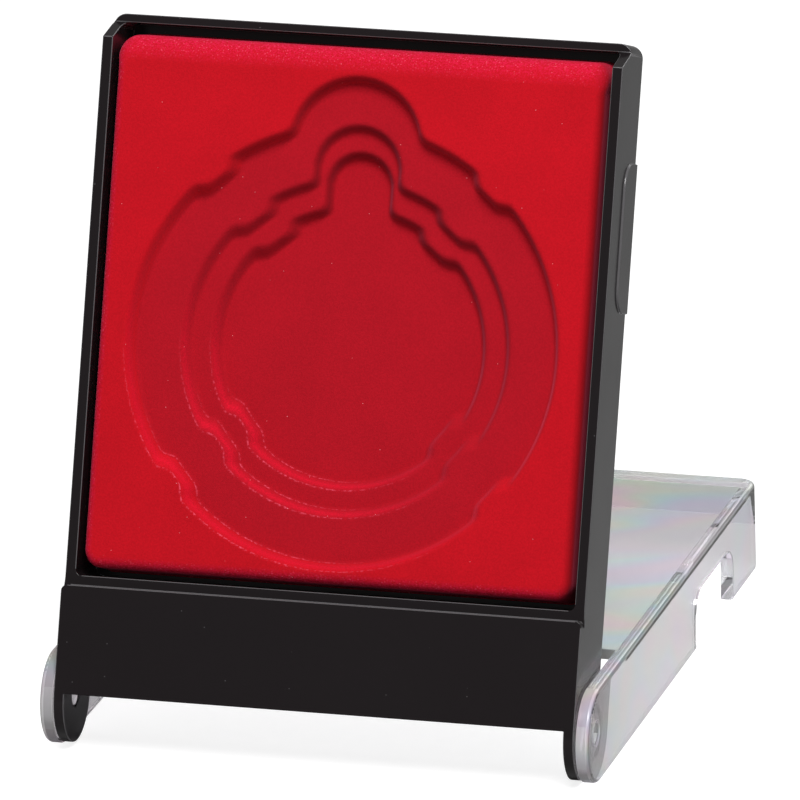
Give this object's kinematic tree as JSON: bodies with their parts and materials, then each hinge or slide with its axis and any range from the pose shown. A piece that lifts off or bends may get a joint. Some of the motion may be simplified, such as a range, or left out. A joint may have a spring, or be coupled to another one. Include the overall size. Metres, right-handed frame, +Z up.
{
  "type": "medal presentation case",
  "caption": "Presentation case for a medal: a black tray with a red flocked insert, cut with stepped round wells, leans back as an easel on its clear hinged lid.",
  "frame": {"origin": "middle of the standing case's outline, on the table that the open lid lies on", "axes": "+X to the case's right as seen by the viewer of the medal, +Y away from the viewer along the lid, +Z up"},
  "size_m": [0.1068, 0.1386, 0.1316],
  "materials": {
    "black_plastic": "moulded polystyrene, near-black, semi-gloss",
    "red_flock": "red velvet flock on a formed plastic sheet",
    "clear_plastic": "clear moulded polystyrene, glossy"
  },
  "bodies": {
    "lid": {"clear_lid": "clear_plastic"},
    "tray": {"display_tray": "black_plastic", "medal_insert": "red_flock"}
  },
  "joints": [
    {"name": "tray_hinge", "type": "hinge", "parent": "lid", "child": "tray", "pos_m": [0, -0.0609, 0.0098], "axis": [1, 0, 0], "range_deg": [0, 288.8]}
  ]
}
